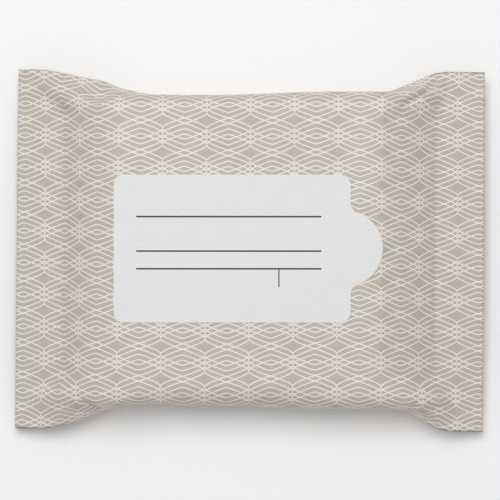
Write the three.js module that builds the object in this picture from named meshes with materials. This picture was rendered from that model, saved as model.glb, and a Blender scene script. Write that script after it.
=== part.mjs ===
// A flow-wrapped pack of wet wipes with its reseal label, lying on its back with the label up.
// Millimetres, +Z up. X runs along the pack from one end seal to the other, Y runs across it.
// The origin is on the surface that the pack lies on, under the middle of the pack.
import * as THREE from "three";

// Driving dimensions of the film pack
const packLength = 191; // over the two cut ends of the film
const flatWidth = 147; // across an end seal, which is half the girth of the film tube
const packThickness = 26; // through the stack of wipes
const sealLength = 19.5; // of each flat end, from its cut edge to the crease
const sealThickness = 0.5; // of the two layers of film at an end seal
const farRadius = 7.5; // of the film round the far (+Y) long edge of the stack
const nearRadius = 3; // round the near (-Y) long edge, where the stack is pressed square
const rightRadius = 9.5; // round both long edges towards the right end, where the stack is looser
const earRadius = 2; // of the film over the ridge of an ear
const roundFrom = -20; // along X, where the long edges start to grow rounder
const roundOver = 55; // length over which they do
const earTurn = 0.25; // share of the film's fall over which the long edges tighten to an ear's ridge
const earWidth = 11; // over which the panel's form turns into the form of its edge
const sinkFrom = 25; // out from the middle, where the seals start to bend down to their corners
const finWidth = 12; // of the back seam, folded flat under the pack
const finThickness = 0.3;
const finBlend = 10; // over which the back panel meets the free edge of the seam
const finSlope = 0.3; // run of the seam's free edge across its thickness
const finMargin = 6; // of level back panel between that blend and the next crosswise station

// How the film comes down to the seal at each end, in the middle of the panel and along its two edges,
// where it forms an ear at each corner. The film leaves the level panel a run before the crease, follows
// a curve (1 is a straight slope) and meets the seal a reach past the crease. The seal loses shares of
// its height at the crease and from there to its cut edge. An ear starts at a distance from the middle.
const leftEnd = {
  middle: { run: 26, reach: 0, curve: 2.4, creaseSink: 0.08, cutSink: 0.3 },
  far: { run: 30, reach: 10.5, curve: 1.25, creaseSink: 0.23, cutSink: 0.54, earFrom: 55 },
  near: { run: 24, reach: 11, curve: 1.42, creaseSink: 0.23, cutSink: 0.5, earFrom: 50 },
};
const rightEnd = {
  middle: { run: 23, reach: 0, curve: 1.08, creaseSink: 0.08, cutSink: 0.2 },
  far: { run: 19, reach: 7, curve: 1.05, creaseSink: 0.27, cutSink: 0.12, earFrom: 55 },
  near: { run: 13.5, reach: 7, curve: 1.2, creaseSink: 0.27, cutSink: 0.46, earFrom: 50 },
};

// Driving dimensions of the reseal label
const labelLength = 95.6; // without its tab
const labelWidth = 59.7;
const labelCorner = 4.2;
const labelThickness = 0.2;
const labelShift = new THREE.Vector2(-0.7, 0); // of its middle from the middle of the pack
const labelTurn = 0.4; // degrees, as it was stuck on a little askew
const tabRadius = 15.4;
const tabInset = 2.3; // of the tab's centre, inside the end of the label
const tabFillet = 4; // where the tab runs into the end of the label

// Steps in the faceted curves
const sealSteps = 4;
const slopeSteps = 11;
const bodySteps = 6;
const edgeSteps = 12;
const turnSteps = 16;
const leanSteps = 24;
const labelArcSteps = 8;

const { smoothstep, lerp } = THREE.MathUtils;
const creaseX = packLength / 2 - sealLength;
const middleHeight = packThickness / 2;
const halfSeal = sealThickness / 2;

// How far a point of the film lies out from the pack's middle and down from its panel, at a distance
// along the film from the middle of the panel. Past the panel the film bends over to a lean.
function filmPoint(along, panel, bend, lean) {
  const past = Math.max(along - panel, 0);
  const point = { out: Math.min(along, panel), down: 0 };
  for (let i = 0; i < turnSteps; i++) {
    const turn = lean * smoothstep((past * (i + 0.5)) / turnSteps, 0, bend);
    point.out += (past * Math.cos(turn)) / turnSteps;
    point.down += (past * Math.sin(turn)) / turnSteps;
  }
  return point;
}

// The lean of a side that brings the panel to a height above the fold at the side, found by halving.
function leanFor(rise, panel, bend) {
  let low = 0;
  let high = Math.PI / 2;
  for (let i = 0; i < leanSteps; i++) {
    const lean = (low + high) / 2;
    if (filmPoint(flatWidth / 2, panel, bend, lean).down > rise) {
      high = lean;
    } else {
      low = lean;
    }
  }
  return low;
}

// Upper and lower point of the film at a place along the pack, at a distance along the film from the
// middle of a panel, on the far or the near side.
function packPoint(x, along, side) {
  const end = x < 0 ? leftEnd : rightEnd;
  const earShare = smoothstep(along, end[side].earFrom, end[side].earFrom + earWidth);
  const sinkShare = smoothstep(along, sinkFrom, flatWidth / 2);
  const value = (name, share) => lerp(end.middle[name], end[side][name], share);
  const start = creaseX - value("run", earShare);
  const reach = (Math.abs(x) - start) / (value("run", earShare) + value("reach", earShare));
  const fall = Math.pow(THREE.MathUtils.clamp(reach, 0, 1), value("curve", earShare));
  const creaseSink = value("creaseSink", sinkShare) * smoothstep(Math.abs(x), start, creaseX);
  const cutSink = (value("cutSink", sinkShare) * Math.max(Math.abs(x) - creaseX, 0)) / sealLength;
  const seam = halfSeal + (middleHeight - halfSeal) * (1 - creaseSink - cutSink);
  const aboveSeam = packThickness - halfSeal - seam;
  const rise = aboveSeam * (1 - fall);
  const leftRadius = side === "far" ? farRadius : nearRadius;
  const bodyRadius = lerp(leftRadius, rightRadius, smoothstep(x, roundFrom, roundFrom + roundOver));
  const radius = lerp(bodyRadius, earRadius, smoothstep(fall, 0, earTurn));
  const bend = (Math.PI / 2) * radius;
  const panel = flatWidth / 2 - bend - (middleHeight - halfSeal - radius);
  const { out, down } = filmPoint(along, panel, bend, leanFor(rise, panel, bend));
  const height = Math.max(rise - down, 0);
  return {
    y: side === "far" ? out : -out,
    upper: seam + height + halfSeal,
    lower: seam - (height * (seam - halfSeal)) / aboveSeam - halfSeal,
    fall,
  };
}

// Distances along the film from the middle of a panel to the fold at the side, closer past the panel.
const filmStations = [finWidth + finSlope + finBlend + finMargin];
const stationsFrom = flatWidth / 2 - packThickness;
for (let i = 0; i <= edgeSteps; i++) {
  filmStations.push(lerp(stationsFrom, flatWidth / 2, i / edgeSteps));
}

// One outline of the pack across Y and Z, from its upper panel round to its lower one.
function packOutline(x) {
  const far = filmStations.map((along) => packPoint(x, along, "far"));
  const near = filmStations.map((along) => packPoint(x, along, "near"));
  return [
    ...near.map(({ y, upper }) => new THREE.Vector2(y, upper)).reverse(),
    ...far.map(({ y, upper }) => new THREE.Vector2(y, upper)),
    ...far.map(({ y, lower }) => new THREE.Vector2(y, lower)).reverse(),
    ...backSeam(x),
    ...near.map(({ y, lower }) => new THREE.Vector2(y, lower)),
  ];
}

// The back seam lies flat along the lower panel. The panel rises to its free edge, and the crimped
// ends press that step flat.
function backSeam(x) {
  const { lower, fall } = packPoint(x, 0, "near");
  const step = finThickness * (1 - fall);
  return [
    new THREE.Vector2(0, lower),
    new THREE.Vector2(-finWidth, lower),
    new THREE.Vector2(-finWidth - finSlope, lower + step),
    new THREE.Vector2(-finWidth - finSlope - finBlend, lower),
  ];
}

// Places along X from the left cut edge to the right one, closer together where the film slopes.
function packStations() {
  const slopeRun = ({ middle, far, near }) => Math.max(middle.run, far.run, near.run);
  const bounds = [
    { x: -packLength / 2, steps: sealSteps },
    { x: -creaseX, steps: slopeSteps },
    { x: slopeRun(leftEnd) - creaseX, steps: bodySteps },
    { x: creaseX - slopeRun(rightEnd), steps: slopeSteps },
    { x: creaseX, steps: sealSteps },
    { x: packLength / 2, steps: 0 },
  ];
  const places = [bounds[0].x];
  for (let part = 0; part + 1 < bounds.length; part++) {
    const { x, steps } = bounds[part];
    for (let i = 1; i <= steps; i++) {
      places.push(lerp(x, bounds[part + 1].x, i / steps));
    }
  }
  return places;
}

// A closed solid through outlines of equal counts of points, with its ends filled.
function loft(stations) {
  const outlines = stations.map(packOutline);
  const count = outlines[0].length;
  const points = stations.flatMap((x, i) => outlines[i].map((p) => new THREE.Vector3(x, p.x, p.y)));
  const faces = [];
  for (let ring = 0; ring + 1 < stations.length; ring++) {
    for (let i = 0; i < count; i++) {
      const a = ring * count + i;
      const b = ring * count + ((i + 1) % count);
      faces.push(a, a + count, b, b, a + count, b + count);
    }
  }
  const last = (stations.length - 1) * count;
  for (const [a, b, c] of THREE.ShapeUtils.triangulateShape(outlines[0], [])) {
    faces.push(a, c, b);
  }
  for (const [a, b, c] of THREE.ShapeUtils.triangulateShape(outlines.at(-1), [])) {
    faces.push(last + a, last + b, last + c);
  }
  return new THREE.BufferGeometry().setFromPoints(points).setIndex(faces);
}

// The die-cut outline: a rectangle with round corners, and a round tab blended into its right end.
function labelOutline() {
  const left = labelShift.x - (labelLength + tabRadius - tabInset) / 2;
  const right = left + labelLength;
  const low = labelShift.y - labelWidth / 2;
  const high = labelShift.y + labelWidth / 2;
  const tabX = right - tabInset;
  const filletX = right + tabFillet;
  const filletUp = Math.sqrt((tabRadius + tabFillet) ** 2 - (filletX - tabX) ** 2);
  const blend = Math.atan2(filletUp, filletX - tabX);
  const quarter = Math.PI / 2;
  const outline = new THREE.Shape();
  outline.absarc(left + labelCorner, low + labelCorner, labelCorner, 2 * quarter, 3 * quarter);
  outline.absarc(right - labelCorner, low + labelCorner, labelCorner, 3 * quarter, 4 * quarter);
  outline.absarc(filletX, labelShift.y - filletUp, tabFillet, 2 * quarter, 2 * quarter - blend, true);
  outline.absarc(tabX, labelShift.y, tabRadius, -blend, blend);
  outline.absarc(filletX, labelShift.y + filletUp, tabFillet, 2 * quarter + blend, 2 * quarter, true);
  outline.absarc(right - labelCorner, high - labelCorner, labelCorner, 0, quarter);
  outline.absarc(left + labelCorner, high - labelCorner, labelCorner, quarter, 2 * quarter);
  outline.closePath();
  return outline;
}

// The sealed film pack with the wipes inside it: matte printed film, warm grey.
function makeFilmPack() {
  const material = new THREE.MeshStandardMaterial({ color: 0xcac2b7, roughness: 0.55, metalness: 0 });
  const pack = new THREE.Mesh(loft(packStations()), material);
  pack.name = "film_pack";
  return pack;
}

// The white adhesive label that closes the pack again, flat on the upper panel.
function makeResealLabel() {
  const material = new THREE.MeshStandardMaterial({ color: 0xe2e2e2, roughness: 0.6, metalness: 0 });
  const cut = { depth: labelThickness, bevelEnabled: false, curveSegments: labelArcSteps };
  const label = new THREE.Mesh(new THREE.ExtrudeGeometry(labelOutline(), cut), material);
  label.name = "reseal_label";
  label.position.z = packThickness;
  label.rotation.z = THREE.MathUtils.degToRad(labelTurn);
  return label;
}

const wipesPack = new THREE.Group();
wipesPack.add(makeFilmPack(), makeResealLabel());

export default wipesPack;
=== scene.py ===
import math

import bpy
import numpy as np
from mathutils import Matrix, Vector


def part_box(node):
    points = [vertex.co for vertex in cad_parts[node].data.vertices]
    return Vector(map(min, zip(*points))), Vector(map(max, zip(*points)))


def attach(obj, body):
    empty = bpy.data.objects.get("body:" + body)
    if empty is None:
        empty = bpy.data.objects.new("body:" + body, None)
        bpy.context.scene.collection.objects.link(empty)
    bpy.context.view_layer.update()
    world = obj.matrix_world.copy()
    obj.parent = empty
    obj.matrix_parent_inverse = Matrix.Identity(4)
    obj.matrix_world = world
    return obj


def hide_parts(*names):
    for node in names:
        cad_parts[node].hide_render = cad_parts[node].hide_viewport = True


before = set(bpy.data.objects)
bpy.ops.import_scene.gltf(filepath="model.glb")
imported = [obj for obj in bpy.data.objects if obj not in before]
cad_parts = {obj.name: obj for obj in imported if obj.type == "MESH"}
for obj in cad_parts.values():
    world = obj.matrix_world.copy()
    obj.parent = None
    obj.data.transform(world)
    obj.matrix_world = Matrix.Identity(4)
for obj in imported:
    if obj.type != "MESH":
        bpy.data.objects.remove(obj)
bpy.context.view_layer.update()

bpy.ops.object.select_all(action="DESELECT")


# The film pack is one web of printed plastic film, wrapped round the stack of wipes into a tube, joined
# along its back and pressed flat at both ends. The web starts as a flat grid, is folded to the pack's
# form, and then settles as cloth that keeps its flat size, so the print follows every fold.
pack_low, pack_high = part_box("film_pack")
pack_half_length = pack_high.x
flat_width = pack_high.y - pack_low.y
girth = 2 * flat_width
seal_length = 0.0195
crease_x = pack_half_length - seal_length
ply_gap = 0.00015
fin_thickness = 0.0003
body_height = pack_high.z - fin_thickness

# The stack sags towards the right end. Its edges are rounder there than on the left, where the stack also
# lies a little to the near side. On the way down to a seal the edges turn into the ears' sharp ones.
right_sag = 0.0008
sag_reach = 0.060
sag_curve = 1.5
left_edge = 0.0075
right_edge = 0.0095
round_from = -0.020
round_over = 0.055
near_shift = 0.001
ear_edge = 0.002
sharp_by = 0.25

# How the film comes down to the seal at each end, in the middle of the panel and along its far (+Y) and
# near (-Y) edges, where it forms an ear at each corner. The film leaves the level panel a run before the
# crease, follows a curve, meets the seal a reach past the crease, and bends there over a soft length. The
# seal loses shares of its height at the crease and from there to its cut edge.
left_end = {
    "middle": {
        "run": 0.028, "reach": 0, "curve": 2.6, "shoulder": 0, "soft": 0.0015,
        "crease_sink": 0.13, "cut_sink": 0.38,
    },
    "far": {
        "run": 0.030, "reach": 0.0105, "curve": 1.25, "shoulder": 0.07, "soft": 0.003,
        "crease_sink": 0.20, "cut_sink": 0.49,
    },
    "near": {
        "run": 0.024, "reach": 0.011, "curve": 1.42, "shoulder": 0, "soft": 0.003,
        "crease_sink": 0.20, "cut_sink": 0.43,
    },
}
right_end = {
    "middle": {
        "run": 0.023, "reach": 0, "curve": 1.08, "shoulder": 0, "soft": 0.0008,
        "crease_sink": 0.13, "cut_sink": 0.23,
    },
    "far": {
        "run": 0.021, "reach": 0.003, "curve": 1.5, "shoulder": 0.03, "soft": 0.001,
        "crease_sink": 0.23, "cut_sink": 0.15,
    },
    "near": {
        "run": 0.0135, "reach": 0.007, "curve": 1.2, "shoulder": 0, "soft": 0.001,
        "crease_sink": 0.23, "cut_sink": 0.36,
    },
}
ear_from = {"far": 0.055, "near": 0.050}
ear_width = 0.011
sink_from = 0.025


def smooth_step(value):
    """A share from 0 to 1 that starts and ends gently."""
    value = np.clip(value, 0, 1)
    return value * value * (3 - 2 * value)


def end_value(x, far, edge_share, name):
    """A value of the left or the right end, from the panel's middle to its far or near edge."""
    left = np.where(far, left_end["far"][name], left_end["near"][name])
    right = np.where(far, right_end["far"][name], right_end["near"][name])
    at_edge = np.where(x < 0, left, right)
    at_middle = np.where(x < 0, left_end["middle"][name], right_end["middle"][name])
    return at_middle + edge_share * (at_edge - at_middle)


def share_of_ear(along, far):
    """How far a point has passed from the panel's middle form to the form of its edge."""
    return smooth_step((along - np.where(far, ear_from["far"], ear_from["near"])) / ear_width)


def height_at(x):
    """Height of the stack under the film: it sags towards the right end."""
    return body_height - right_sag * np.clip(x / sag_reach, 0, 1) ** sag_curve


def seam_at(x, along, far):
    """Height of the fold line at the sides and of the seals: both ends sink, most at their corners."""
    edge_share = smooth_step((along - sink_from) / (flat_width / 2 - sink_from))
    run = end_value(x, far, edge_share, "run")
    to_crease = smooth_step((np.abs(x) - crease_x + run) / run)
    to_cut = np.clip((np.abs(x) - crease_x) / seal_length, 0, 1)
    crease_sink = end_value(x, far, edge_share, "crease_sink") * to_crease
    cut_sink = end_value(x, far, edge_share, "cut_sink") * to_cut
    return fin_thickness + height_at(x) / 2 * (1 - crease_sink - cut_sink)


def fall_to_seal(x, far, edge_share):
    """Share of the panel's height above the seal that is lost at x, as a mean over the soft length."""
    run = end_value(x, far, edge_share, "run")
    reach = end_value(x, far, edge_share, "reach")
    curve = end_value(x, far, edge_share, "curve")
    soft = end_value(x, far, edge_share, "soft")
    shoulder = end_value(x, far, edge_share, "shoulder")
    soft_places = 9
    shares = []
    for shift in np.linspace(-1, 1, soft_places):
        passed = np.clip((np.abs(x) + shift * soft - crease_x + run) / (run + reach), 0, 1)
        shares.append(passed**curve + shoulder * np.sin(2 * math.pi * passed))
    return np.mean(shares, 0)


def section(along, panel, bend, lean):
    """Out and down of film points at a distance along the film from the panel's middle: the film bends
    over the stack's edge to a lean and keeps it down to the fold at the side."""
    bend_places = 25
    steps = np.linspace(0, 1, bend_places)
    steps = (steps[1:] + steps[:-1]) / 2
    past = np.maximum(along - panel, 0)
    turn = lean[:, None] * smooth_step(past[:, None] * steps / bend[:, None])
    return np.minimum(along, panel) + past * np.cos(turn).mean(1), past * np.sin(turn).mean(1)


def lean_for(rise, panel, bend):
    """Lean of the sides that brings the panel a given height above the fold, found by halving."""
    edge = np.full(len(rise), flat_width / 2)
    low = np.zeros(len(rise))
    high = np.full(len(rise), math.pi / 2)
    halvings = 14
    for _ in range(halvings):
        lean = (low + high) / 2
        enough = section(edge, panel, bend, lean)[1] > rise
        high = np.where(enough, lean, high)
        low = np.where(enough, low, lean)
    return lean


def form_film(x, round_web):
    """The pack's form at places along it and round its girth, from the upper panel's middle."""
    upper = np.abs(round_web) <= flat_width / 2
    far = round_web > 0
    along = np.where(upper, np.abs(round_web), flat_width - np.abs(round_web))
    seam = seam_at(x, along, far)
    above_seam = fin_thickness + height_at(x) - seam
    fall = fall_to_seal(x, far, share_of_ear(along, far))
    rise = (above_seam - ply_gap) * (1 - fall)
    roundness = smooth_step((x - round_from) / round_over)
    body_edge = left_edge + (right_edge - left_edge) * roundness
    radius = body_edge + (ear_edge - body_edge) * smooth_step(fall / sharp_by)
    bend = radius * math.pi / 2
    panel = flat_width / 2 - bend - (height_at(x) / 2 - radius)
    out, down = section(along, panel, bend, lean_for(rise, panel, bend))
    height = np.maximum(rise - down, 0) + ply_gap
    below = height * (seam - fin_thickness) / above_seam
    y = np.where(far, out, -out) - near_shift * (1 - roundness) * (1 - fall)
    return np.stack([x, y, seam + np.where(upper, height, -below)], 1)


row_places = 401
row_x = np.linspace(-pack_half_length, pack_half_length, row_places)


def row_length(round_web):
    """Length of film from the left cut edge to each place of row_x, along one row of the web."""
    points = form_film(row_x, np.full(len(row_x), round_web))
    return np.concatenate([[0], np.cumsum(np.linalg.norm(np.diff(points, axis=0), axis=1))])


# Every row of the web lies square on the level panel, and takes up its own length at the ends.
panel_left = -0.046
panel_right = 0.052
row_marks = -pack_half_length, panel_left, panel_right, pack_half_length
middle_marks = np.interp(row_marks, row_x, row_length(0.0))
web_length = middle_marks[-1]


def fold_web(flat):
    """The pack's form for points of the flat web, given along the pack and round its girth."""
    x = np.empty(len(flat))
    for round_web in np.unique(flat[:, 1]):
        row = flat[:, 1] == round_web
        length = row_length(round_web)
        own_marks = np.interp(row_marks, row_x, length)
        own_length = np.interp(flat[row, 0] + web_length / 2, middle_marks, own_marks)
        x[row] = np.interp(own_length, length, row_x)
    return form_film(x, flat[:, 1])


film_cell = 0.0017
web_uv = "OFBake"
bpy.ops.mesh.primitive_grid_add(
    x_subdivisions=round(web_length / film_cell),
    y_subdivisions=round(girth / film_cell / 4) * 4,
    size=1,
)
film = bpy.context.object
film.name = film.data.name = "film"
film.data.uv_layers[0].name = web_uv
unit = np.empty(len(film.data.vertices) * 3, np.float32)
film.data.vertices.foreach_get("co", unit)
web = unit.reshape(-1, 3).astype(float) * (web_length, girth, 0)
formed = fold_web(web)

# The cloth settles ten times larger than life, because small cloth creeps. The seals, the back seam and
# the film that lies on the stack are held, and the ends and sides find their own folds.
sim_scale = 10
hold_fade = 0.012
side_fade = 0.004
side_slack = 0.6
least_hold = 0.01
full_fall = 0.999
settle_frames = 20
film.data.vertices.foreach_set("co", (formed * sim_scale).astype(np.float32).ravel())
film.data.update()
bpy.ops.object.shape_key_add(from_mix=False)
bpy.ops.object.shape_key_add(from_mix=False)
flat_key = film.data.shape_keys.key_blocks[1]
flat_key.data.foreach_set("co", (web * sim_scale).astype(np.float32).ravel())
flat_key.value = 0
on_far_side = web[:, 1] > 0
from_middle = np.abs(web[:, 1])
from_middle = np.where(from_middle <= flat_width / 2, from_middle, flat_width - from_middle)
edge_share = share_of_ear(from_middle, on_far_side)
sealed = fall_to_seal(formed[:, 0], on_far_side, edge_share) > full_fall
stack_end = crease_x - end_value(formed[:, 0], on_far_side, edge_share, "run")
off_stack = np.abs(formed[:, 0]) - stack_end
on_stack = 1 - smooth_step((off_stack + hold_fade) / hold_fade)
stack_edge = flat_width / 2 - body_height / 2
on_side = smooth_step((from_middle - stack_edge) / side_fade)
held = np.where(sealed, 1.0, on_stack * (1 - side_slack * on_side))
pins = film.vertex_groups.new(name="held")
for index in np.flatnonzero(held > least_hold):
    pins.add([int(index)], float(held[index]), "REPLACE")
cloth = film.modifiers.new("settle", "CLOTH")
cloth.settings.quality = 5
cloth.settings.mass = 0.05
cloth.settings.air_damping = 5
cloth.settings.tension_stiffness = 80
cloth.settings.compression_stiffness = 80
cloth.settings.shear_stiffness = 40
cloth.settings.bending_stiffness = 3
cloth.settings.tension_damping = 10
cloth.settings.compression_damping = 10
cloth.settings.shear_damping = 10
cloth.settings.bending_damping = 2
cloth.settings.vertex_group_mass = "held"
cloth.settings.rest_shape_key = flat_key
cloth.settings.use_pressure = True
cloth.settings.uniform_pressure_force = 0.15
cloth.settings.effector_weights.gravity = 0
cloth.collision_settings.use_collision = False
cloth.point_cache.frame_end = settle_frames
for settle_frame in range(1, settle_frames + 1):
    bpy.context.scene.frame_set(settle_frame)
bpy.ops.object.convert(target="MESH")
film = bpy.context.object
film.scale = (1 / sim_scale,) * 3
bpy.ops.object.transform_apply(location=False, rotation=False, scale=True)

# The two edges of the web meet in the back seam, the back lies on the floor, and the folds at the sides
# of the flat seals stay sharp.
web_edge = 0.4999 * girth
weld_gap = 0.00002
settled = np.empty(len(film.data.vertices) * 3, np.float32)
film.data.vertices.foreach_get("co", settled)
settled = settled.reshape(-1, 3).astype(float)
first_edge = np.flatnonzero(web[:, 1] < -web_edge)
last_edge = np.flatnonzero(web[:, 1] > web_edge)
settled[first_edge] = settled[last_edge] = (settled[first_edge] + settled[last_edge]) / 2
settled[:, 2] = np.maximum(settled[:, 2], fin_thickness)
film.data.vertices.foreach_set("co", settled.astype(np.float32).ravel())
film.data.update()
edge_ends = np.empty(len(film.data.edges) * 2, np.int32)
film.data.edges.foreach_get("vertices", edge_ends)
edge_ends = edge_ends.reshape(-1, 2)
at_fold = np.abs(np.abs(web[edge_ends, 1]) - flat_width / 2).max(1) < film_cell / 4
edge_x = settled[edge_ends, 0].mean(1)
pressed = fall_to_seal(edge_x, web[edge_ends[:, 0], 1] > 0, np.ones(len(edge_x)))
film.data.edge_creases_ensure().data.foreach_set("value", np.where(at_fold, pressed, 0).astype(np.float32))

bpy.ops.object.mode_set(mode="EDIT")
bpy.ops.mesh.select_all(action="SELECT")
bpy.ops.mesh.remove_doubles(threshold=weld_gap)
bpy.ops.object.mode_set(mode="OBJECT")
smoothing = film.modifiers.new("smoothing", "SUBSURF")
smoothing.levels = smoothing.render_levels = 1
bpy.ops.object.modifier_apply(modifier=smoothing.name)
bpy.ops.object.mode_set(mode="EDIT")
bpy.ops.mesh.select_all(action="SELECT")
bpy.ops.mesh.normals_make_consistent(inside=False)
bpy.ops.object.mode_set(mode="OBJECT")
bpy.ops.object.shade_smooth()

# Where the film was tucked in or pressed, it keeps its tucks and creases. Their places are given on the
# flat web, along and across from the middle of the upper panel.
corner_places = np.empty(len(film.data.loops) * 2, np.float32)
film.data.uv_layers[web_uv].data.foreach_get("uv", corner_places)
corner_points = np.empty(len(film.data.loops), np.int32)
film.data.loops.foreach_get("vertex_index", corner_points)
web_place = np.empty((len(film.data.vertices), 2))
web_place[corner_points] = (corner_places.reshape(-1, 2) - 0.5) * (web_length, girth)
outward = np.empty(len(film.data.vertices) * 3, np.float32)
film.data.vertex_normals.foreach_get("vector", outward)
creased = np.empty(len(film.data.vertices) * 3, np.float32)
film.data.vertices.foreach_get("co", creased)
outward, creased = outward.reshape(-1, 3), creased.reshape(-1, 3)


def tuck_film(place, reach, move):
    """Moves the film about a place of the web, less and less over its reach along and across."""
    away = np.clip(np.abs(web_place - place) / reach, 0, 1)
    share = np.prod(np.cos(away * math.pi / 2) ** 2, axis=1)
    creased[:] += (share[:, None] * move).astype(np.float32)


def press_crease(start, end, depth, flank):
    """Presses the film in along a line of the web, deepest half way and with straight flanks. A negative
    depth makes a ridge."""
    line = np.subtract(end, start)
    share = np.clip((web_place - start) @ line / (line @ line), 0, 1)
    gap = np.linalg.norm(web_place - start - share[:, None] * line, axis=1)
    amount = depth * np.sin(math.pi * share) * np.maximum(1 - gap / flank, 0)
    creased[:] -= (amount[:, None] * outward).astype(np.float32)


# The far left ear is folded in and down, and the side fold next to it waves in and out.
tuck_film((-0.0625, 0.0655), (0.0095, 0.0085), (0, -0.0019, -0.0012))
tuck_film((-0.0550, 0.0735), (0.0075, 0.0100), (0, -0.0010, 0))
tuck_film((-0.0450, 0.0735), (0.0065, 0.0150), (0, 0.0008, 0))
# The near side fold is drawn in along its left part, and the panel's edge above it is pressed down.
tuck_film((-0.0400, -0.0735), (0.0250, 0.0160), (0, 0.0022, 0))
tuck_film((-0.0100, -0.0735), (0.0300, 0.0160), (0, 0.0012, 0))
tuck_film((-0.0280, -0.0655), (0.0320, 0.0110), (0, 0, -0.0036))
tuck_film((0.0040, -0.0655), (0.0320, 0.0110), (0, 0, -0.0036))
# Both right ears are drawn out sideways.
tuck_film((0.0713, 0.0650), (0.0090, 0.0080), (0.0006, 0.0009, -0.0004))
tuck_film((0.0713, -0.0650), (0.0100, 0.0085), (-0.0003, -0.0012, 0))
# The far right ear has a deep crease, with a ridge and a second crease beside it.
press_crease((0.0615, 0.0575), (0.0755, 0.0660), 0.0020, 0.0028)
press_crease((0.0560, 0.0720), (0.0705, 0.0625), -0.0005, 0.0022)
press_crease((0.0705, 0.0620), (0.0830, 0.0740), 0.0010, 0.0020)
# The sealing jaw left a line across the right end.
press_crease((0.0800, -0.0660), (0.0800, 0.0700), 0.0004, 0.0015)
# The near right, near left and far left ears have one crease each.
press_crease((0.0705, -0.0590), (0.0640, -0.0690), 0.0011, 0.0022)
press_crease((-0.0710, -0.0580), (-0.0580, -0.0720), 0.0013, 0.0020)
press_crease((-0.0720, 0.0580), (-0.0580, 0.0625), 0.0006, 0.0024)
film.data.vertices.foreach_set("co", creased.ravel())
film.data.update()
bpy.ops.object.mode_set(mode="EDIT")
bpy.ops.mesh.select_all(action="SELECT")
bpy.ops.mesh.fill_holes(sides=0)
bpy.ops.mesh.select_all(action="SELECT")
bpy.ops.mesh.normals_make_consistent(inside=False)
bpy.ops.object.mode_set(mode="OBJECT")


def linear(red, green, blue):
    """Linear colour of an sRGB colour given from 0 to 255."""
    shares = [value / 255 for value in (red, green, blue)]
    return [v / 12.92 if v <= 0.04045 else ((v + 0.055) / 1.055) ** 2.4 for v in shares] + [1]


def new_material(name, roughness):
    """A new material, its node tree and its shader."""
    material = bpy.data.materials.new(name)
    material.use_nodes = True
    shader = material.node_tree.nodes["Principled BSDF"]
    shader.inputs["Roughness"].default_value = roughness
    return material, material.node_tree, shader


def calc(tree, operation, *values):
    """A Math node on sockets or plain numbers, and its result."""
    node = tree.nodes.new("ShaderNodeMath")
    node.operation = operation
    for place, value in enumerate(values):
        if isinstance(value, (int, float)):
            node.inputs[place].default_value = value
        else:
            tree.links.new(value, node.inputs[place])
    return node.outputs[0]


def noise(tree, coordinates, cell, detail=2.0):
    """A noise texture whose lumps are about one cell wide, in the coordinates' own unit."""
    node = tree.nodes.new("ShaderNodeTexNoise")
    node.inputs["Scale"].default_value = 1 / cell
    node.inputs["Detail"].default_value = detail
    tree.links.new(coordinates, node.inputs["Vector"])
    return node.outputs["Fac"]


def blend(tree, share, first, second):
    """A colour between two, each a socket or a plain colour."""
    node = tree.nodes.new("ShaderNodeMix")
    node.data_type = "RGBA"
    tree.links.new(share, node.inputs["Factor"])
    for name, colour in (("A", first), ("B", second)):
        if isinstance(colour, list):
            node.inputs[name].default_value = colour
        else:
            tree.links.new(colour, node.inputs[name])
    return node.outputs["Result"]


def remap(tree, value, low, high, to_low, to_high):
    """A value eased from one range to another."""
    node = tree.nodes.new("ShaderNodeMapRange")
    node.interpolation_type = "SMOOTHSTEP"
    for name, number in (("From Min", low), ("From Max", high), ("To Min", to_low), ("To Max", to_high)):
        node.inputs[name].default_value = number
    tree.links.new(value, node.inputs["Value"])
    return node.outputs["Result"]


def vary(tree, lumps, low, high):
    """A value that follows a noise texture from low to high."""
    noise_low, noise_high = 0.3, 0.7
    return remap(tree, lumps, noise_low, noise_high, low, high)


def bump(tree, shader, height, distance, below=None):
    """A bump of a given distance on a shader, on top of another bump where one is given."""
    node = tree.nodes.new("ShaderNodeBump")
    node.inputs["Strength"].default_value = 1
    node.inputs["Distance"].default_value = distance
    tree.links.new(height, node.inputs["Height"])
    if below is not None:
        tree.links.new(below, node.inputs["Normal"])
    tree.links.new(node.outputs["Normal"], shader.inputs["Normal"])
    return node.outputs["Normal"]


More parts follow.
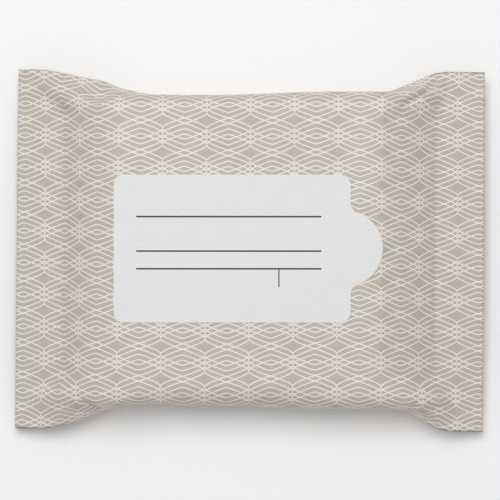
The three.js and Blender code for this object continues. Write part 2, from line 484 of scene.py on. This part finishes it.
def lozenge_lines(tree, along, across):
    """Share of pale line in a trellis of nested lozenges, from distances in millimetres. Each line zigzags
    between posts and crowns, rounded at the crowns and drawn out to a tip at the posts. A row has four such
    lines a step apart, and the same four turned over."""
    column, row = 17.76, 13.05
    line_half, line_fade = 0.235, 0.08
    step = row / 6
    swing = 1.6 * step
    turn_round = 0.008
    tip_width, tip_height = 0.9, 0.72
    first_line = -1.0
    slope = 2 * swing / column
    from_post = calc(tree, "PINGPONG", along, column / 2)
    from_crown = calc(tree, "SUBTRACT", 1.0, calc(tree, "DIVIDE", from_post, column / 2))
    rounded = calc(tree, "SQRT", calc(tree, "MULTIPLY_ADD", from_crown, from_crown, turn_round))
    tip = calc(tree, "EXPONENT", calc(tree, "DIVIDE", from_post, -tip_width))
    wave = calc(tree, "MULTIPLY", calc(tree, "SUBTRACT", 1.0, rounded), swing)
    wave = calc(tree, "MULTIPLY_ADD", tip, -tip_height, wave)
    from_row = calc(tree, "SUBTRACT", row / 2, calc(tree, "PINGPONG", across, row / 2))
    to_next_row = calc(tree, "SUBTRACT", row, from_row)
    # Distances from the families of lines that can be nearest, each with the number of its last line.
    crossings = (
        (calc(tree, "SUBTRACT", from_row, wave), 2.0),
        (calc(tree, "ADD", from_row, wave), 1.0),
        (calc(tree, "SUBTRACT", to_next_row, wave), 2.0),
    )
    nearest_line = row
    for crossing, last_line in crossings:
        line = calc(tree, "ROUND", calc(tree, "DIVIDE", crossing, step))
        line = calc(tree, "MINIMUM", calc(tree, "MAXIMUM", line, first_line), last_line)
        gap = calc(tree, "ABSOLUTE", calc(tree, "SUBTRACT", crossing, calc(tree, "MULTIPLY", line, step)))
        nearest_line = calc(tree, "MINIMUM", gap, nearest_line)
    steepness = calc(tree, "MULTIPLY_ADD", tip, tip_height / tip_width, slope)
    narrowing = calc(tree, "INVERSE_SQRT", calc(tree, "MULTIPLY_ADD", steepness, steepness, 1.0))
    nearest_line = calc(tree, "MULTIPLY", nearest_line, narrowing)
    return remap(tree, nearest_line, line_half - line_fade, line_half + line_fade, 1.0, 0.0)


film_grey = linear(192, 181, 170)
film_grey_deep = linear(186, 175, 164)
film_line = linear(236, 230, 222)
film_roughness = 0.5
film_rough_low, film_rough_high = 0.44, 0.54
mottle_cell, mottle_detail = 0.0015, 4.0
cloud_cell = 0.03
grain_depth = 0.00002
ripple_cell, ripple_depth = 0.008, 0.00025
# The print lies a little off the middle of the web, in millimetres, and runs slightly askew on it.
print_shift_along = 0.45
print_shift_across = 0.25
print_skew = -0.0056
web_mm = 1000


def mottled_film(tree, place):
    """The film's ground colour, and the fine mottle in it."""
    mottle = noise(tree, place, mottle_cell, mottle_detail)
    return blend(tree, vary(tree, mottle, 0.0, 1.0), film_grey, film_grey_deep), mottle


film_print, tree, shader = new_material("film_print", film_roughness)
place = tree.nodes.new("ShaderNodeTexCoord").outputs["Object"]
web_map = tree.nodes.new("ShaderNodeUVMap")
web_map.uv_map = web_uv
split = tree.nodes.new("ShaderNodeSeparateXYZ")
tree.links.new(web_map.outputs["UV"], split.inputs[0])
along = calc(tree, "MULTIPLY_ADD", split.outputs["X"], web_length * web_mm, -web_length * web_mm / 2)
across = calc(tree, "MULTIPLY_ADD", split.outputs["Y"], girth * web_mm, -girth * web_mm / 2)
square_across = calc(tree, "MULTIPLY_ADD", along, -print_skew, across)
lines = lozenge_lines(
    tree,
    calc(tree, "SUBTRACT", along, print_shift_along),
    calc(tree, "SUBTRACT", square_across, print_shift_across),
)
ground, mottle = mottled_film(tree, place)
tree.links.new(blend(tree, lines, ground, film_line), shader.inputs["Base Color"])
clouds = noise(tree, place, cloud_cell)
tree.links.new(vary(tree, clouds, film_rough_low, film_rough_high), shader.inputs["Roughness"])
grain = bump(tree, shader, mottle, grain_depth)
bump(tree, shader, noise(tree, place, ripple_cell), ripple_depth, grain)
film.data.materials.append(film_print)
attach(film, "root")
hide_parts("film_pack")


# The back seam is the fin where the two edges of the web were sealed face to face. It is folded flat
# under the pack, and the end seals press it into the film. It has the fine ridges of the sealing rollers.
seam_width = 0.012
seam_stock = 0.00025
seam_inset = 0.0003
seam_gap = 0.00002
seam_cells = 128, 8
look_from = 0.1
sharp_angle = math.radians(40)
roller_pitch = 0.0008
roller_depth = 0.00008
bpy.ops.object.select_all(action="DESELECT")
bpy.ops.mesh.primitive_grid_add(x_subdivisions=seam_cells[0], y_subdivisions=seam_cells[1], size=1)
back_seam = bpy.context.object
back_seam.name = back_seam.data.name = "back_seam"
back_seam.scale = (2 * (pack_half_length - seam_inset), seam_width, 1)
back_seam.location = (0, -seam_width / 2, 0)
bpy.ops.object.transform_apply(location=True, rotation=False, scale=True)
# A ray from well below the pack finds the film over each point of the seam.
film_shell = film.evaluated_get(bpy.context.evaluated_depsgraph_get())
for vertex in back_seam.data.vertices:
    _, point, _, _ = film_shell.ray_cast((vertex.co.x, vertex.co.y, -look_from), (0, 0, 1))
    vertex.co.z = point.z - seam_gap
back_seam.data.update()
plies = back_seam.modifiers.new("plies", "SOLIDIFY")
plies.thickness = seam_stock
plies.offset = -1
bpy.ops.object.modifier_apply(modifier=plies.name)
bpy.ops.object.shade_smooth_by_angle(angle=sharp_angle)

seam_film, tree, shader = new_material("seam_film", film_roughness)
place = tree.nodes.new("ShaderNodeTexCoord").outputs["Object"]
split = tree.nodes.new("ShaderNodeSeparateXYZ")
tree.links.new(place, split.inputs[0])
ground, mottle = mottled_film(tree, place)
tree.links.new(ground, shader.inputs["Base Color"])
ridges = calc(tree, "PINGPONG", split.outputs["Y"], roller_pitch / 2)
bump(tree, shader, calc(tree, "DIVIDE", ridges, roller_pitch / 2), roller_depth)
back_seam.data.materials.append(seam_film)
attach(back_seam, "root")


# The reseal label is die cut from white coated stock with a round pull tab, printed with a few thin
# rules, and stuck on the film over the opening. Its tab stands a little off the film to be gripped.
label_low, label_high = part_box("reseal_label")
label_stock = 0.00014
label_cell = 0.0024
label_weld = 0.000001
facing_up = 0.9
glue_gap = 0.00004
tab_from = 0.041
tab_lift = 0.0006
bpy.ops.object.select_all(action="DESELECT")
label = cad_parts["reseal_label"].copy()
label.data = label.data.copy()
label.name = label.data.name = "label"
bpy.context.collection.objects.link(label)
bpy.context.view_layer.objects.active = label
label.select_set(True)
bpy.ops.object.mode_set(mode="EDIT")
bpy.ops.mesh.select_all(action="SELECT")
bpy.ops.mesh.remove_doubles(threshold=label_weld)
bpy.ops.mesh.select_mode(type="FACE")
bpy.ops.object.mode_set(mode="OBJECT")
for face in label.data.polygons:
    face.select = face.normal.z < facing_up
bpy.ops.object.mode_set(mode="EDIT")
bpy.ops.mesh.delete(type="FACE")
bpy.ops.mesh.select_all(action="SELECT")
bpy.ops.mesh.dissolve_limited(angle_limit=math.radians(1))
for axis, normal in ((0, (1, 0, 0)), (1, (0, 1, 0))):
    cuts = round((label_high[axis] - label_low[axis]) / label_cell)
    for cut in range(1, cuts):
        cut_place = Vector((0, 0, label_high.z))
        cut_place[axis] = label_low[axis] + (label_high[axis] - label_low[axis]) * cut / cuts
        bpy.ops.mesh.select_all(action="SELECT")
        bpy.ops.mesh.bisect(plane_co=cut_place, plane_no=normal)
bpy.ops.object.mode_set(mode="OBJECT")
for vertex in label.data.vertices:
    _, point, _, _ = film_shell.ray_cast((vertex.co.x, vertex.co.y, look_from), (0, 0, -1))
    on_tab = max(vertex.co.x - tab_from, 0) / (label_high.x - tab_from)
    vertex.co.z = point.z + glue_gap + tab_lift * on_tab**2
label.data.update()
stock = label.modifiers.new("stock", "SOLIDIFY")
stock.thickness = label_stock
stock.offset = 1
bpy.ops.object.modifier_apply(modifier=stock.name)
bpy.ops.object.shade_smooth_by_angle(angle=sharp_angle)

# The film's print shows faintly through the stock. The rules are turned a little with the label.
label_white = linear(231, 231, 231)
label_shade = linear(229, 229, 229)
label_ghost = linear(227, 227, 227)
label_roughness = 0.6
label_rough_low, label_rough_high = 0.55, 0.66
fibre_cell, fibre_detail = 0.0009, 5.0
fibre_depth = 0.00002
label_turn = math.radians(0.4)
rule_ink = linear(46, 46, 48)
ink_fade = 0.00005
rule_half = 0.00033
rule_left = -0.0460
rule_right = 0.0288
rule_heights = 0.01285, -0.00105, -0.00820
tick_half = 0.00024
tick_x = 0.0116
tick_low = -0.0156

label_print, tree, shader = new_material("label_print", label_roughness)
place = tree.nodes.new("ShaderNodeTexCoord").outputs["Object"]
split = tree.nodes.new("ShaderNodeSeparateXYZ")
tree.links.new(place, split.inputs[0])
turned = tree.nodes.new("ShaderNodeMapping")
turned.inputs["Rotation"].default_value = (0, 0, -label_turn)
tree.links.new(place, turned.inputs["Vector"])
turned_split = tree.nodes.new("ShaderNodeSeparateXYZ")
tree.links.new(turned.outputs["Vector"], turned_split.inputs[0])


def bar(left, right, low, high):
    """Share of ink in an upright rectangle on the turned label."""
    inside = 1.0
    for name, first, last in (("X", left, right), ("Y", low, high)):
        offset = calc(tree, "SUBTRACT", turned_split.outputs[name], (first + last) / 2)
        reach = (last - first) / 2
        side = remap(tree, calc(tree, "ABSOLUTE", offset), reach - ink_fade, reach + ink_fade, 1.0, 0.0)
        inside = calc(tree, "MULTIPLY", side, inside)
    return inside


ink = bar(tick_x - tick_half, tick_x + tick_half, tick_low, rule_heights[2])
for height in rule_heights:
    ink = calc(tree, "MAXIMUM", ink, bar(rule_left, rule_right, height - rule_half, height + rule_half))
fibre = noise(tree, place, fibre_cell, fibre_detail)
paper = blend(tree, vary(tree, fibre, 0.0, 1.0), label_white, label_shade)
ghost = lozenge_lines(
    tree,
    calc(tree, "MULTIPLY_ADD", split.outputs["X"], web_mm, -print_shift_along),
    calc(tree, "MULTIPLY_ADD", split.outputs["Y"], web_mm, -print_shift_across),
)
paper = blend(tree, ghost, label_ghost, paper)
tree.links.new(blend(tree, ink, paper, rule_ink), shader.inputs["Base Color"])
tree.links.new(vary(tree, fibre, label_rough_low, label_rough_high), shader.inputs["Roughness"])
bump(tree, shader, fibre, fibre_depth)
label.data.materials.clear()
label.data.materials.append(label_print)
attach(label, "root")
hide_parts("reseal_label")


# The stage is a pale floor under a wide soft light, which stands past the pack's far side. The camera looks
# nearly straight down on the pack.
floor_size = 6
floor_drop = 0.0002
floor_white = linear(252, 252, 252)
floor_shade = linear(249, 249, 249)
floor_roughness = 0.8
floor_cell = 0.2
bpy.ops.object.select_all(action="DESELECT")
bpy.ops.mesh.primitive_plane_add(size=floor_size, location=(0, 0, -floor_drop))
floor = bpy.context.object
floor.name = floor.data.name = "floor"
floor_paint, tree, shader = new_material("floor_paint", floor_roughness)
place = tree.nodes.new("ShaderNodeTexCoord").outputs["Object"]
floor_tone = blend(tree, noise(tree, place, floor_cell), floor_white, floor_shade)
tree.links.new(floor_tone, shader.inputs["Base Color"])
floor.data.materials.append(floor_paint)

sky_strength = 0.48
lamp_place = Vector((-0.12, 0.44, 1.25))
lamp_size = 0.9
lamp_energy = 9.65
sky = bpy.data.worlds.new("studio")
sky.use_nodes = True
sky.node_tree.nodes["Background"].inputs["Color"].default_value = (1, 1, 1, 1)
sky.node_tree.nodes["Background"].inputs["Strength"].default_value = sky_strength
bpy.context.scene.world = sky
bpy.ops.object.light_add(type="AREA", location=lamp_place)
lamp = bpy.context.object
lamp.data.shape = "DISK"
lamp.data.size = lamp_size
lamp.data.energy = lamp_energy
lamp.rotation_euler = (-lamp_place).to_track_quat("-Z", "Y").to_euler()

view_tilt = math.radians(2)
view_roll = math.radians(0.42)
view_distance = 1.4
frame_width = 0.20365
view_aim = Vector((0.0003, -0.00015, pack_high.z / 2))
bpy.ops.object.camera_add(
    location=view_aim + view_distance * Vector((0, -math.sin(view_tilt), math.cos(view_tilt))),
    rotation=(view_tilt, 0, view_roll),
)
camera = bpy.context.object
camera.data.sensor_width = 36
camera.data.lens = camera.data.sensor_width * view_distance / frame_width
camera.data.clip_end = 10
bpy.context.scene.camera = camera
bpy.context.scene.view_settings.view_transform = "Standard"
